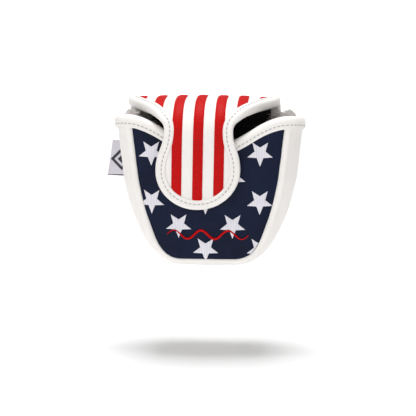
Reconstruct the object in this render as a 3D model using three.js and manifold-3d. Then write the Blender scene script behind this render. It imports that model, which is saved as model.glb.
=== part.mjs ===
// A mallet putter head cover: a padded U-shaped pouch with a striped flap folded over its mouth.
// Millimetres, +Z up. The pouch stands on its foot at the origin and the star panel faces -Y.
import * as THREE from 'three';
import { mergeVertices } from 'three/addons/utils/BufferGeometryUtils.js';
import Module from 'manifold-3d';

const wasm = await Module();
wasm.setup();

// Driving dimensions ------------------------------------------------------------------------

const gap = 0.3; // clearance between neighbouring pieces

// The panels' outline is a U: a flat foot, a round corner up to the knee, a straight side.
const panelHalfWidth = 57.6; // at the mouth
const kneeTaper = 5; // how much narrower the panel is at the knee
const kneeHeight = 62.5;
const footHalfWidth = 18;
const footRoundness = 0.52; // how far the bottom runs on before it turns up
const kneeRoundness = 0.65; // how far the side runs down before it turns in
const kneeLean = 6.6;

// The side wall bulges out past the panels, more at the sides than under the foot.
const panelHalfDepth = 26;
const sideBulge = 8;
const footBulge = 5;
const footHalfDepth = 12; // half the depth of the flat foot

// Layers of the pouch wall, from outside in.
const leather = 1.2;
const padding = 2.6;
const lining = 1.6;

// The mouth: level at the corners, dipped in the middle of the front.
const mouthHeight = 106.5;
const mouthDip = 21.5;
const mouthDipHalfWidth = 55;
const sideTopDrop = 5.3; // how much the side wall's top edge falls from front to back
const mouthBindingWidth = 8.5;
const mouthBindingEnd = 16; // how far back along the side wall the binding runs
const binding = 1; // thickness of the binding leather

const borderWidth = 4.8;
const footBorderWidth = 2.6; // the border rolls under at the foot, so less of it shows
const borderFullHeight = 31; // above this the border has its full width
const borderCrown = 0.8; // how much the border stands up off the panel

// The flap, seen from the side: up from the hinge, over the crest, down the front.
const hingeHeight = mouthHeight - 5;
const crestHeight = mouthHeight + 11;
const crestSetback = 4;
const hingeRise = 0.6; // share of the climb that the flap makes straight up
const crestRearReach = 0.64; // how far the crest stays level behind and in front of its top
const crestFrontReach = 0.6;
const shoulderFullness = 0.88; // how high the shoulder starts to turn down
const shoulderHeight = mouthHeight - 18.5; // below this the tongue hangs straight
const tipHeight = mouthHeight - 63.5;
const flapLeather = 1;
const flapPadding = 2;
const flapLining = 0.8;
const tongueStandoff = 0.9; // from the mouth binding to the tongue's back

// The flap, laid flat: wings, neck and a round lobe.
const flapOffset = -4.6; // the flap is sewn a little to the left
const flapLean = 1; // degrees
const wingHalfWidth = 53.5;
const wingSide = 36; // length of the wing's straight side
const wingCorner = 6;
const neckHalfWidth = 23.3;
const notchHeight = mouthHeight - 5.5; // where the wing meets the neck
const notchCorner = 4;
const neckEase = 0.5; // how long the neck keeps its width
const lobeEase = 0.6; // how early the lobe reaches its width
const lobeHalfWidth = 28.8;
const lobeLength = 27;
const foldHeight = mouthHeight - 12.5; // where the tongue folds
const flapBindingWidth = 7;
const wingDroop = 4.6; // how much the wings' edges sag
const droopPower = 1.5; // how suddenly the sag grows towards the edge
const droopLateness = 1.7; // above 1, most of the sag comes after the crest

// Embroidery.
const stripeCount = 7;
const stripePitch = 14.3;
const stripeWidth = 6.9;
const thread = 0.6;
const starRadius = 9.1;
const starWaist = 0.43; // inner radius over outer radius
const starColumn = 18.5;
const starTopDrop = 25; // from the mouth down to the top row's middle
const starFootRise = 14.9; // from the foot up to the lowest row's middle
const starRow = (mouthHeight - starTopDrop - starFootRise) / 4;
const starOrigin = [-1.6, mouthHeight - starTopDrop];
const flourishLength = 56;
const flourishWave = 3;
const flourishWidth = 1.7;
const flourishTaper = 0.35; // width at its ends over its width in the middle
const flourishWaves = 3;
const flourishHeight = 25;

// Closure and label.
const magnetRadius = 9;
const magnetThickness = 1.8;
const magnetHeight = tipHeight + 17;
const labelBottom = 57;
const labelTop = 82.5;
const labelLengthTop = 17;
const labelLengthBottom = 24;
const labelPly = 0.45;
const labelFold = 0.9; // share of its length before the folded end
const labelRoot = 0.7; // from the seam to the label

// Helpers -----------------------------------------------------------------------------------

const lerp = THREE.MathUtils.lerp;
const smoothstep = THREE.MathUtils.smoothstep;

function finish(color, roughness) {
  return new THREE.MeshStandardMaterial({ color, roughness, metalness: 0 });
}

const navyLeather = finish('#222a3c', 0.55);
const whiteLeather = finish('#f3f1ef', 0.5);
const redThread = finish('#c5100f', 0.6);
const starThread = finish('#dcd8e0', 0.6);
const blackFleece = finish('#0b0b0d', 0.95);
const greyPlush = finish('#b9b4b0', 0.95);
const foam = finish('#8a8a86', 0.95);
const wovenGrey = finish('#cfcbd3', 0.8);
const magnetSteel = new THREE.MeshStandardMaterial({ color: '#8f9296', roughness: 0.35, metalness: 1 });

function named(name, geometry, material) {
  const mesh = new THREE.Mesh(geometry, material);
  mesh.name = name;
  return mesh;
}

function signedVolume(points, index) {
  let sum = 0;
  for (let i = 0; i < index.length; i += 3) {
    const [a, b, c] = [points[index[i]], points[index[i + 1]], points[index[i + 2]]];
    sum += a.dot(new THREE.Vector3().crossVectors(b, c));
  }
  return sum / 6;
}

// The triangles that close a section, all wound the way its outline runs.
function sectionFaces(section) {
  const turn = Math.sign(THREE.ShapeUtils.area(section));
  return THREE.ShapeUtils.triangulateShape(section, []).map(([a, b, c]) => {
    const sameTurn = Math.sign(THREE.ShapeUtils.area([section[a], section[b], section[c]])) === turn;
    return sameTurn ? [a, b, c] : [a, c, b];
  });
}

// A closed solid through rings of points that all run round the same flat section.
function loft(rings, section) {
  const count = section.length;
  const last = (rings.length - 1) * count;
  const points = rings.flat();
  const index = [];
  for (let i = 0; i < rings.length - 1; i++) {
    for (let j = 0; j < count; j++) {
      const k = (j + 1) % count;
      const [a, b, c, d] = [i * count + j, i * count + k, (i + 1) * count + k, (i + 1) * count + j];
      index.push(a, b, c, a, c, d);
    }
  }
  for (const [a, b, c] of sectionFaces(section)) {
    index.push(a, c, b, last + a, last + b, last + c);
  }
  if (signedVolume(points, index) < 0) {
    index.reverse();
  }
  return new THREE.BufferGeometry().setFromPoints(points).setIndex(index);
}

function extruded(shape, depth) {
  return new THREE.ExtrudeGeometry(shape, { depth, bevelEnabled: false, curveSegments: 16 });
}

// A flat slab with its outline in X and Z, between two places in depth.
function slab(name, shape, yFront, yBack, material) {
  const mesh = named(name, extruded(shape, yBack - yFront), material);
  mesh.rotation.x = Math.PI / 2;
  mesh.position.y = yBack;
  return mesh;
}

function toManifold(geometry) {
  const bare = geometry.clone().deleteAttribute('normal').deleteAttribute('uv');
  const merged = mergeVertices(bare);
  return new wasm.Manifold(
    new wasm.Mesh({
      numProp: 3,
      vertProperties: new Float32Array(merged.attributes.position.array),
      triVerts: new Uint32Array(merged.index.array),
    })
  );
}

function fromManifold(manifold) {
  const { vertProperties, triVerts } = manifold.getMesh();
  const geometry = new THREE.BufferGeometry();
  geometry.setAttribute('position', new THREE.BufferAttribute(vertProperties, 3));
  return geometry.setIndex(new THREE.BufferAttribute(triVerts, 1));
}

// The pouch's outline -----------------------------------------------------------------------

const kneeHalfWidth = panelHalfWidth - kneeTaper;
const sideSlope = kneeTaper / (mouthHeight - kneeHeight);

function seamX(z) {
  return kneeHalfWidth + (z - kneeHeight) * sideSlope;
}

// Stations on the right half of the seam, from the foot's edge up to the knee.
function cornerStations(steps) {
  const curve = new THREE.CubicBezierCurve(
    new THREE.Vector2(footHalfWidth, footBulge),
    new THREE.Vector2(lerp(footHalfWidth, kneeHalfWidth, footRoundness), footBulge),
    new THREE.Vector2(kneeHalfWidth - kneeLean, lerp(kneeHeight, footBulge, kneeRoundness)),
    new THREE.Vector2(kneeHalfWidth, kneeHeight)
  );
  return Array.from({ length: steps + 1 }, (_, i) => {
    const tangent = curve.getTangent(i / steps);
    return { seam: curve.getPoint(i / steps), out: new THREE.Vector2(tangent.y, -tangent.x) };
  });
}

const cornerSteps = 12;
const corner = cornerStations(cornerSteps);

function bulgeAt(z) {
  return lerp(footBulge, sideBulge, smoothstep(z, footBulge, kneeHeight));
}

// How full the side wall is at a depth: 1 over the flat foot, 0 at the panels' seams.
const wallHalfDepth = panelHalfDepth - leather - gap;
function crown(y) {
  const run = Math.max(0, Math.abs(y) - footHalfDepth) / (wallHalfDepth - footHalfDepth);
  return 1 - run * run;
}

// The border's width at a height, with a margin.
function borderAnd(margin) {
  return (z) => margin + lerp(footBorderWidth, borderWidth, smoothstep(z, footBulge, borderFullHeight));
}

// The outline inside the seam, from the bottom's middle up the right side to a height.
// The inset is a length, or a function that gives it at a height.
function rightOutline(inset, top) {
  const insetAt = typeof inset === 'function' ? inset : () => inset;
  const points = corner.map(({ seam, out }) => seam.clone().addScaledVector(out, -insetAt(seam.y)));
  points.push(new THREE.Vector2(seamX(top) - insetAt(top), top));
  return points;
}

function mirrored(points) {
  return points.map((p) => new THREE.Vector2(-p.x, p.y)).reverse();
}

// Height of the binding's top over the front edge.
function mouthTop(x) {
  const inside = Math.min(1, Math.abs(x) / mouthDipHalfWidth);
  return mouthHeight - (mouthDip * (1 + Math.cos(Math.PI * inside))) / 2;
}

const edgeCover = binding + gap; // from the binding's top down to the edge that it covers

// A front wall layer: the U at an inset, closed by the dipped mouth edge.
function frontShape(inset) {
  const top = mouthHeight - edgeCover;
  const right = rightOutline(inset, top);
  const half = right.at(-1).x;
  const steps = 28;
  const mouth = [];
  for (let i = 1; i < steps; i++) {
    const x = half - (2 * half * i) / steps;
    mouth.push(new THREE.Vector2(x, mouthTop(x) - edgeCover));
  }
  return new THREE.Shape([...mirrored(right), ...right, ...mouth]);
}

function backShape(inset) {
  const right = rightOutline(inset, hingeHeight - gap);
  return new THREE.Shape([...mirrored(right), ...right]);
}

// The strip between two insets of the U.
function borderShape(outer, inner, top) {
  const outside = rightOutline(outer, top);
  const inside = rightOutline(inner, top);
  const back = [...mirrored(inside), ...inside].reverse();
  return new THREE.Shape([...mirrored(outside), ...outside, ...back]);
}

// Side wall ---------------------------------------------------------------------------------

function sideTop(y) {
  const share = (y + panelHalfDepth) / (2 * panelHalfDepth);
  return mouthHeight - edgeCover - sideTopDrop * share;
}

// A point on the right side of the wall, a depth of material in from its outer face.
function wallPoint(station, y, inward) {
  const { seam, out } = station;
  const offset = bulgeAt(seam.y) * crown(y) - inward;
  return new THREE.Vector3(seam.x + out.x * offset, y, seam.y + out.y * offset);
}

function wallTopPoint(y, inward, z) {
  return new THREE.Vector3(seamX(z) + sideBulge * crown(y) - inward, y, z);
}

function flipX(points) {
  return points.map((p) => new THREE.Vector3(-p.x, p.y, p.z));
}

// One layer of the side wall, between two depths of material, as wide as halfDepth allows.
function wallLayer(outer, inner, halfDepth) {
  const slope = (halfDepth - footHalfDepth) / 3;
  const depths = [0, 1, 2, 3].map((i) => footHalfDepth + i * slope);
  const across = [...depths.map((y) => -y).reverse(), ...depths];
  const section = [
    ...across.map((y) => ({ y, inward: outer })),
    ...across.map((y) => ({ y, inward: inner })).reverse(),
  ];
  const side = corner.map((station) => section.map(({ y, inward }) => wallPoint(station, y, inward)));
  side.push(section.map(({ y, inward }) => wallTopPoint(y, inward, sideTop(y))));
  const rings = [...side.map(flipX).reverse(), ...side];
  const flat = section.map(({ y, inward }) => new THREE.Vector2(y, crown(y) * sideBulge - inward));
  return loft(rings, flat);
}

const foamOuter = leather + gap;
const foamInner = foamOuter + padding;
const liningOuter = foamInner + gap;
const wall = liningOuter + lining;

// Mouth binding: one folded strip over the side walls' and the front's top edges -------------

const bindingOut = gap + binding;
const bindingSection = [
  { face: 0, off: bindingOut, down: mouthBindingWidth },
  { face: 0, off: bindingOut, down: binding },
  { face: 0, off: gap, down: 0 },
  { face: 1, off: gap, down: 0 },
  { face: 1, off: bindingOut, down: binding },
  { face: 1, off: bindingOut, down: mouthBindingWidth },
  { face: 1, off: gap, down: mouthBindingWidth },
  { face: 1, off: gap, down: binding },
  { face: 0, off: gap, down: binding },
  { face: 0, off: gap, down: mouthBindingWidth },
];

function bindingOnWall(yOuter, yInner) {
  return bindingSection.map(({ face, off, down }) => {
    const y = face ? yInner : yOuter;
    return wallTopPoint(y, face ? wall + off : -off, sideTop(y) + edgeCover - down);
  });
}

function bindingAtCorner() {
  const innerWall = sideBulge * crown(panelHalfDepth - wall - gap) - wall;
  return bindingSection.map(({ face, off, down }) => {
    const z = mouthHeight - down;
    const x = seamX(z) + (face ? innerWall - off : off);
    return new THREE.Vector3(x, face ? off + wall - panelHalfDepth : -panelHalfDepth - off, z);
  });
}

function bindingOnFront(x) {
  return bindingSection.map(({ face, off, down }) => {
    const y = face ? off + wall - panelHalfDepth : -panelHalfDepth - off;
    return new THREE.Vector3(x, y, mouthTop(x) - down);
  });
}

const bindingTurn = 10; // from here forward the binding turns the front corner
const innerTurn = 0.6; // its inner side turns more tightly

function mouthBinding() {
  const nearCorner = panelHalfDepth - wall;
  const sides = [
    [mouthBindingEnd, mouthBindingEnd],
    [bindingTurn, bindingTurn],
    [-bindingTurn, -bindingTurn],
    [-lerp(bindingTurn, nearCorner, 0.5), -lerp(bindingTurn, nearCorner, 0.5 * innerTurn)],
    [-nearCorner, -lerp(bindingTurn, nearCorner, innerTurn)],
  ];
  const right = [...sides.map(([outer, inner]) => bindingOnWall(outer, inner)), bindingAtCorner()];
  const reach = panelHalfWidth - wall;
  const steps = 20;
  const front = Array.from({ length: steps + 1 }, (_, i) => bindingOnFront(reach * (1 - (2 * i) / steps)));
  const section = bindingSection.map(
    ({ face, off, down }) => new THREE.Vector2(face ? wall + off : -off, -down)
  );
  return loft([...right, ...front, ...right.map(flipX).reverse()], section);
}

// The flap's side view ----------------------------------------------------------------------

const flapThickness = flapLeather + flapPadding + flapLining + 2 * gap;
const tongueFace = panelHalfDepth + bindingOut + tongueStandoff + bindingOut + flapThickness;

const profile = new THREE.Path();
profile.moveTo(panelHalfDepth, hingeHeight);
profile.bezierCurveTo(
  panelHalfDepth,
  lerp(hingeHeight, crestHeight, hingeRise),
  lerp(crestSetback, panelHalfDepth, crestRearReach),
  crestHeight,
  crestSetback,
  crestHeight
);
profile.bezierCurveTo(
  lerp(crestSetback, -tongueFace, crestFrontReach),
  crestHeight,
  -tongueFace,
  lerp(shoulderHeight, crestHeight, shoulderFullness),
  -tongueFace,
  shoulderHeight
);
profile.lineTo(-tongueFace, tipHeight);

const flapLength = profile.getLength();

// How far along the flap its outer face comes down through a height at the front.
function alongAtHeight(z) {
  let low = flapLength / 3;
  let high = flapLength;
  for (let i = 0; i < 40; i++) {
    const middle = (low + high) / 2;
    if (profile.getPoint(middle / flapLength).y > z) {
      low = middle;
    } else {
      high = middle;
    }
  }
  return low;
}

const notch = alongAtHeight(notchHeight);
const fold = alongAtHeight(foldHeight);

// The flap leans a little, so its middle moves across as it comes over.
function flapMiddle(along) {
  return flapOffset - Math.tan(THREE.MathUtils.degToRad(flapLean)) * along;
}

// A place on the laid-flat flap, raised off the leather's outer face, carried onto the folded flap.
function flapPoint(x, along, raise) {
  const t = THREE.MathUtils.clamp(along / flapLength, 0, 1);
  const at = profile.getPoint(t);
  const tangent = profile.getTangent(t);
  const sag = Math.sin(Math.PI * Math.min(1, along / fold) ** droopLateness) ** 2;
  const droop = wingDroop * (Math.abs(x) / wingHalfWidth) ** droopPower * sag;
  return new THREE.Vector3(
    flapMiddle(along) + x,
    at.x + tangent.y * raise,
    at.y - tangent.x * raise - droop
  );
}

// The flap's outline, laid flat ---------------------------------------------------------------

const lobe = flapLength - lobeLength;

function flapEdge() {
  const edge = new THREE.Path();
  const slope = new THREE.Vector2(neckHalfWidth - wingHalfWidth, notch - wingSide).normalize();
  edge.moveTo(wingHalfWidth, 0);
  edge.lineTo(wingHalfWidth, wingSide - wingCorner);
  edge.quadraticCurveTo(
    wingHalfWidth,
    wingSide,
    wingHalfWidth + slope.x * wingCorner,
    wingSide + slope.y * wingCorner
  );
  edge.lineTo(neckHalfWidth - slope.x * notchCorner, notch - slope.y * notchCorner);
  edge.quadraticCurveTo(neckHalfWidth, notch, neckHalfWidth, notch + notchCorner);
  edge.bezierCurveTo(
    neckHalfWidth,
    lerp(notch, lobe, neckEase),
    lobeHalfWidth,
    lerp(notch, lobe, lobeEase),
    lobeHalfWidth,
    lobe
  );
  edge.absellipse(0, lobe, lobeHalfWidth, lobeLength, 0, Math.PI / 2, false);
  return edge;
}

const edgeSteps = 66;
const edge = Array.from({ length: edgeSteps + 1 }, (_, i) => {
  const path = flapEdge();
  const tangent = path.getTangent(i / edgeSteps);
  return { at: path.getPoint(i / edgeSteps), inward: new THREE.Vector2(-tangent.y, tangent.x) };
});

function insetEdge(inset) {
  return edge.map(({ at, inward }) => at.clone().addScaledVector(inward, inset));
}

// Half the flap's width inside an inset, at a distance along it.
function halfWidthAt(along, inset) {
  const line = insetEdge(inset);
  for (let i = 1; i < line.length; i++) {
    const [a, b] = [line[i - 1], line[i]];
    if (a.y <= along && along <= b.y && b.y > a.y) {
      return lerp(a.x, b.x, (along - a.y) / (b.y - a.y));
    }
  }
  return 0;
}

const rowSpacing = 0.5; // rows of points on the flap are at least this far apart

// Distances along the flap at which a piece gets a row of points.
function rowsBetween(start, end, inset) {
  const reach = Math.min(end, flapLength - inset);
  const inside = insetEdge(inset)
    .map((p) => p.y)
    .filter((y) => y > start + 2 * rowSpacing && y < reach - rowSpacing)
    .sort((a, b) => a - b);
  const spaced = inside.filter((y, i) => i === 0 || y - inside[i - 1] > rowSpacing);
  return [start, ...spaced, reach - gap];
}

// A band on the flap: rows of [left, right], between two heights off the leather.
function flapBand(rows, low, high, columns) {
  const shares = Array.from({ length: columns + 1 }, (_, i) => i / columns);
  const rings = rows.map(({ along, left, right }) => [
    ...shares.map((share) => flapPoint(lerp(left, right, share), along, low)),
    ...shares.map((share) => flapPoint(lerp(right, left, share), along, high)),
  ]);
  const section = [
    ...shares.map((share) => new THREE.Vector2(share, 0)),
    ...shares.map((share) => new THREE.Vector2(1 - share, 1)),
  ];
  return loft(rings, section);
}

function flapLayer(start, end, low, high, columns) {
  const inset = edgeCover;
  const rows = rowsBetween(start, end, inset).map((along) => {
    const half = halfWidthAt(along, inset);
    return { along, left: -half, right: half };
  });
  return flapBand(rows, low, high, columns);
}

function flapStripe(offset, start, end, columns) {
  const inset = flapBindingWidth + gap;
  const rows = rowsBetween(start, end, inset)
    .map((along) => {
      const half = halfWidthAt(along, inset);
      const left = Math.max(offset - stripeWidth / 2, -half);
      const right = Math.min(offset + stripeWidth / 2, half);
      return { along, left, right };
    })
    .filter(({ left, right }) => right - left > 1);
  return flapBand(rows, gap, gap + thread, columns);
}

// The folded strip round the flap's edge, between two distances along it.
function edgeBinding(start, end, sides) {
  const under = -flapThickness;
  const section = [
    [flapBindingWidth, bindingOut],
    [binding, bindingOut],
    [0, gap],
    [0, under - gap],
    [binding, under - bindingOut],
    [flapBindingWidth, under - bindingOut],
    [flapBindingWidth, under - gap],
    [binding, under - gap],
    [binding, gap],
    [flapBindingWidth, gap],
  ].map(([x, y]) => new THREE.Vector2(x, y));
  const between = edge.filter(({ at }) => at.y > start + rowSpacing && at.y < end - rowSpacing);
  const last = end < flapLength ? edgeStationAt(end) : edge.at(-1);
  const all = [edgeStationAt(start), ...between, last];
  const side = (sign) =>
    all.map(({ at, inward }) =>
      section.map((p) => flapPoint(sign * (at.x + inward.x * p.x), at.y + inward.y * p.x, p.y))
    );
  const rings = sides === 'both' ? [...side(1), ...side(-1).reverse().slice(1)] : side(sides);
  return loft(rings, section);
}

// Where the edge crosses a distance along the flap, cut square across.
function edgeStationAt(along) {
  return { at: new THREE.Vector2(halfWidthAt(along, 0), along), inward: new THREE.Vector2(-1, 0) };
}

// Pieces: the pouch ---------------------------------------------------------------------------

const cover = new THREE.Group();
const front = -panelHalfDepth;
const back = panelHalfDepth;
const magnetX = flapMiddle(flapLength - (magnetHeight - tipHeight));
const panelInset = borderAnd(gap);
const threadInset = borderAnd(2 * gap);
const foamInset = leather + gap;
const liningInset = footBulge * (1 - crown(wallHalfDepth - gap - padding)) + gap;

function frontFoam() {
  const shape = frontShape(foamInset);
  const pocket = new THREE.Path();
  pocket.absarc(magnetX, magnetHeight, magnetRadius + gap, 0, 2 * Math.PI, true);
  shape.holes.push(pocket);
  return slab('front_foam', shape, front + foamOuter, front + foamInner, foam);
}

function disc(name, y) {
  const geometry = new THREE.CylinderGeometry(magnetRadius, magnetRadius, magnetThickness, 40);
  const mesh = named(name, geometry, magnetSteel);
  mesh.position.set(magnetX, y, magnetHeight);
  return mesh;
}

const frontTop = mouthHeight - edgeCover;
const backTop = hingeHeight - gap;
const backBorder = borderShape(0, borderAnd(0), backTop);
cover.add(
  slab('front_panel', frontShape(panelInset), front, front + leather, navyLeather),
  slab('front_border', borderShape(0, borderAnd(0), frontTop), front, front + leather, whiteLeather),
  frontFoam(),
  slab('front_lining', frontShape(liningInset), front + liningOuter, front + wall, blackFleece),
  disc('front_magnet', front + (foamOuter + foamInner) / 2),
  slab('back_panel', backShape(panelInset), back - leather, back, whiteLeather),
  slab('back_border', backBorder, back - leather, back + borderCrown, whiteLeather),
  slab('back_foam', backShape(foamInset), back - foamInner, back - foamOuter, foam),
  slab('back_lining', backShape(liningInset), back - wall, back - liningOuter, blackFleece),
  named('gusset', wallLayer(0, leather, wallHalfDepth), whiteLeather),
  named('gusset_foam', wallLayer(foamOuter, foamInner, panelHalfDepth - foamInner - gap), foam),
  named('gusset_lining', wallLayer(liningOuter, wall, panelHalfDepth - wall - gap), greyPlush),
  named('mouth_binding', mouthBinding(), whiteLeather)
);

// A layer of thread over a shape, as far as it lies inside a field.
function trimmed(shape, field) {
  const patch = extruded(shape, thread);
  const around = extruded(field, 3 * thread);
  around.translate(0, 0, -thread);
  return fromManifold(toManifold(patch).intersect(toManifold(around)));
}

// A star with one point down, cut off where it runs past the panel.
function starGeometry(x, z) {
  const points = Array.from({ length: 10 }, (_, i) => {
    const radius = i % 2 ? starRadius * starWaist : starRadius;
    const angle = -Math.PI / 2 + (i * Math.PI) / 5;
    return new THREE.Vector2(x + radius * Math.cos(angle), z + radius * Math.sin(angle));
  });
  return trimmed(new THREE.Shape(points), frontShape(threadInset));
}

// Odd rows hold the stars between the even rows' columns.
const starPlaces = [
  [-2, 0], [2, 0],
  [-1, 1], [1, 1],
  [-2, 2], [0, 2], [2, 2],
  [-1, 3], [1, 3],
  [0, 4], [2, 4],
];
starPlaces.forEach(([column, row], i) => {
  const x = starOrigin[0] + column * starColumn;
  const z = starOrigin[1] - row * starRow;
  const star = named(`star_${String(i + 1).padStart(2, '0')}`, starGeometry(x, z), starThread);
  star.rotation.x = Math.PI / 2;
  star.position.y = front - gap;
  cover.add(star);
});

// A plain wave of red thread, thinner towards its ends.
function flourishShape() {
  const steps = 48;
  const edgeOf = (sign) =>
    Array.from({ length: steps + 1 }, (_, i) => {
      const share = i / steps;
      const half = (flourishWidth / 2) * lerp(flourishTaper, 1, Math.sin(Math.PI * share));
      const wave = Math.sin(2 * Math.PI * flourishWaves * share) * flourishWave;
      return new THREE.Vector2((share - 0.5) * flourishLength, flourishHeight + wave + sign * half);
    });
  return new THREE.Shape([...edgeOf(-1), ...edgeOf(1).reverse()]);
}

const flourishFace = front - gap - thread - gap;
cover.add(slab('front_flourish', flourishShape(), flourishFace - thread, flourishFace, redThread));

for (let i = 0; i < stripeCount; i++) {
  const middle = flapOffset + (i - (stripeCount - 1) / 2) * stripePitch;
  const left = middle - stripeWidth / 2;
  const right = middle + stripeWidth / 2;
  const tall = new THREE.Shape([
    new THREE.Vector2(left, 0),
    new THREE.Vector2(right, 0),
    new THREE.Vector2(right, hingeHeight),
    new THREE.Vector2(left, hingeHeight),
  ]);
  const strip = trimmed(tall, backShape(threadInset));
  const mesh = named(`back_stripe_${i + 1}`, strip, redThread);
  mesh.rotation.x = Math.PI / 2;
  mesh.position.y = back + gap + thread;
  cover.add(mesh);
}

// Pieces: the flap and its tongue ---------------------------------------------------------------

const layers = [
  ['panel', -flapLeather, 0, whiteLeather],
  ['foam', -flapLeather - gap - flapPadding, -flapLeather - gap, foam],
  ['lining', -flapThickness, -flapThickness + flapLining, blackFleece],
];
const topEnd = fold - gap / 2;
const tongueStart = fold + gap / 2;
const flapTop = new THREE.Group();
const tongue = new THREE.Group();

for (const [layer, low, high, material] of layers) {
  flapTop.add(named(`flap_top_${layer}`, flapLayer(0, topEnd, low, high, 8), material));
}
flapTop.add(
  named('wing_binding_right', edgeBinding(0, topEnd, 1), whiteLeather),
  named('wing_binding_left', edgeBinding(0, topEnd, -1), whiteLeather)
);
for (let i = 0; i < stripeCount; i++) {
  const offset = (i - (stripeCount - 1) / 2) * stripePitch;
  flapTop.add(named(`top_stripe_${i + 1}`, flapStripe(offset, 0, topEnd, 2), redThread));
}

const pocket = new THREE.CylinderGeometry(magnetRadius + gap, magnetRadius + gap, 4 * flapPadding, 40);
const tonguePadding = -tongueFace + flapLeather + gap + flapPadding / 2;
pocket.translate(magnetX, tonguePadding, magnetHeight);
for (const [layer, low, high, material] of layers) {
  const solid = flapLayer(tongueStart, flapLength, low, high, 2);
  const hollowed = () => fromManifold(toManifold(solid).subtract(toManifold(pocket)));
  tongue.add(named(`tongue_${layer}`, layer === 'foam' ? hollowed() : solid, material));
}
tongue.add(
  named('tongue_binding', edgeBinding(tongueStart, flapLength, 'both'), whiteLeather),
  disc('tongue_magnet', tonguePadding)
);
for (let i = 0; i < 3; i++) {
  const offset = (i - 1) * stripePitch;
  tongue.add(named(`tongue_stripe_${i + 1}`, flapStripe(offset, tongueStart, flapLength, 1), redThread));
}

// Pieces: the label -----------------------------------------------------------------------------

// A folded tag in the rear left seam: two plies and the fold between them, longer at the bottom.
function labelGeometry() {
  const thickness = 2 * labelPly + gap;
  const plan = new THREE.Shape();
  plan.moveTo(0, 0);
  plan.lineTo(1, 0);
  plan.lineTo(1, thickness);
  plan.lineTo(0, thickness);
  plan.lineTo(0, labelPly + gap);
  plan.lineTo(labelFold, labelPly + gap);
  plan.lineTo(labelFold, labelPly);
  plan.lineTo(0, labelPly);
  const geometry = extruded(plan, 1);
  const place = geometry.attributes.position;
  for (let i = 0; i < place.count; i++) {
    const up = place.getZ(i);
    const z = lerp(labelBottom, labelTop, up);
    const length = lerp(labelLengthBottom, labelLengthTop, up);
    const x = -seamX(z) - labelRoot - place.getX(i) * length;
    place.setXYZ(i, x, back - leather + gap + place.getY(i), z);
  }
  return fixWinding(geometry);
}

// Mirroring turns a solid inside out, so its triangles are turned back.
function fixWinding(geometry) {
  const bare = geometry.deleteAttribute('normal').deleteAttribute('uv');
  const merged = mergeVertices(bare);
  merged.index.array.reverse();
  return merged;
}

cover.add(flapTop, tongue, named('side_label', labelGeometry(), wovenGrey));

export default cover;
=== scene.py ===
# %% [markdown]
# # A putter head cover, sewn from flat pieces
# The real cover is cut from flat leather, embroidered, padded and sewn into a pouch with a flap.
# This script works the same way: each piece is cut flat, then laid on the surface that it covers.
# The frame brings the sizes, the joints and the plain solids, and the pieces here take their place.

# %% Load the frame
import math
import random

import bmesh
import bpy
import numpy as np
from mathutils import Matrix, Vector, noise


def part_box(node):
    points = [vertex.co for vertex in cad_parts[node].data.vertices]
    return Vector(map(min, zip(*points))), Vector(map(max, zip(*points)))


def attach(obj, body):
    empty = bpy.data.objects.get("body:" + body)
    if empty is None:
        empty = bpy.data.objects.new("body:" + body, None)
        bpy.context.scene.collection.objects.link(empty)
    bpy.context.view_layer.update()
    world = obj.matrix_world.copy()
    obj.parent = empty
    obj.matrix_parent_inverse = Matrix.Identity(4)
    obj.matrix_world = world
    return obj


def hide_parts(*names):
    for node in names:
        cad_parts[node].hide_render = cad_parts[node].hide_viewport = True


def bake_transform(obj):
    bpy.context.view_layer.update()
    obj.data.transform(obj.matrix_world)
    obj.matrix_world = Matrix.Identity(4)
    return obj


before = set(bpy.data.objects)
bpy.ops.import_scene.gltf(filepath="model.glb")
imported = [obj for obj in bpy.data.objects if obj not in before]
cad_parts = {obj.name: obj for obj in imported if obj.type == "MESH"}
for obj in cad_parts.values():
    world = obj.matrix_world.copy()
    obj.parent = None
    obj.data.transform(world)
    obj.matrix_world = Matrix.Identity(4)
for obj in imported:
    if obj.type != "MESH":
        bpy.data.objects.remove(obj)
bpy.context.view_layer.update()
bpy.ops.object.select_all(action="DESELECT")
random.seed(7)

# %% [markdown]
# ## Sizes
# Lengths are in millimetres until a mesh is made. What the frame can tell is read from its boxes.
# The rest are the same few numbers that shape the pouch and the flap there.

# %% Driving sizes
MM = 0.001


def box_mm(node):
    low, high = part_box(node)
    return np.array(low) / MM, np.array(high) / MM


seam_half_width = box_mm("front_border")[1][0] + 0.1
panel_face = -box_mm("front_panel")[0][1]
border_width, foot_border_width, border_full_height = 4.8, 2.6, 31.0
knee_taper, knee_height, knee_lean = 5.0, 62.5, 6.6
foot_half_width = 18.0
foot_roundness, knee_roundness = 0.52, 0.65
side_bulge, foot_bulge = 8.0, 5.0
mouth_height = box_mm("mouth_binding")[1][2]
mouth_dip, mouth_dip_half_width = 21.5, 55.0
side_top_drop, edge_cover = 5.3, 1.3
wall_half_depth = box_mm("gusset")[1][1]
wall_thickness = panel_face + box_mm("front_lining")[1][1]
hinge_height = box_mm("flap_top_panel")[0][2]
print("pouch", seam_half_width, panel_face, mouth_height, wall_half_depth, wall_thickness)


# %% [markdown]
# ## The pouch's outline
# Front and back are the same U. Its side is a straight line down to the knee, then a curve runs
# into the flat foot. Every pouch piece asks this outline for its place, so neighbours always meet.

# %% The U outline
knee_half_width = seam_half_width - knee_taper
side_slope = knee_taper / (mouth_height - knee_height)


def lerp(a, b, t):
    return a + (b - a) * t


def smooth(x, low, high):
    t = min(1.0, max(0.0, (x - low) / (high - low)))
    return t * t * (3 - 2 * t)


def seam_x(z):
    return knee_half_width + (z - knee_height) * side_slope


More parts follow.
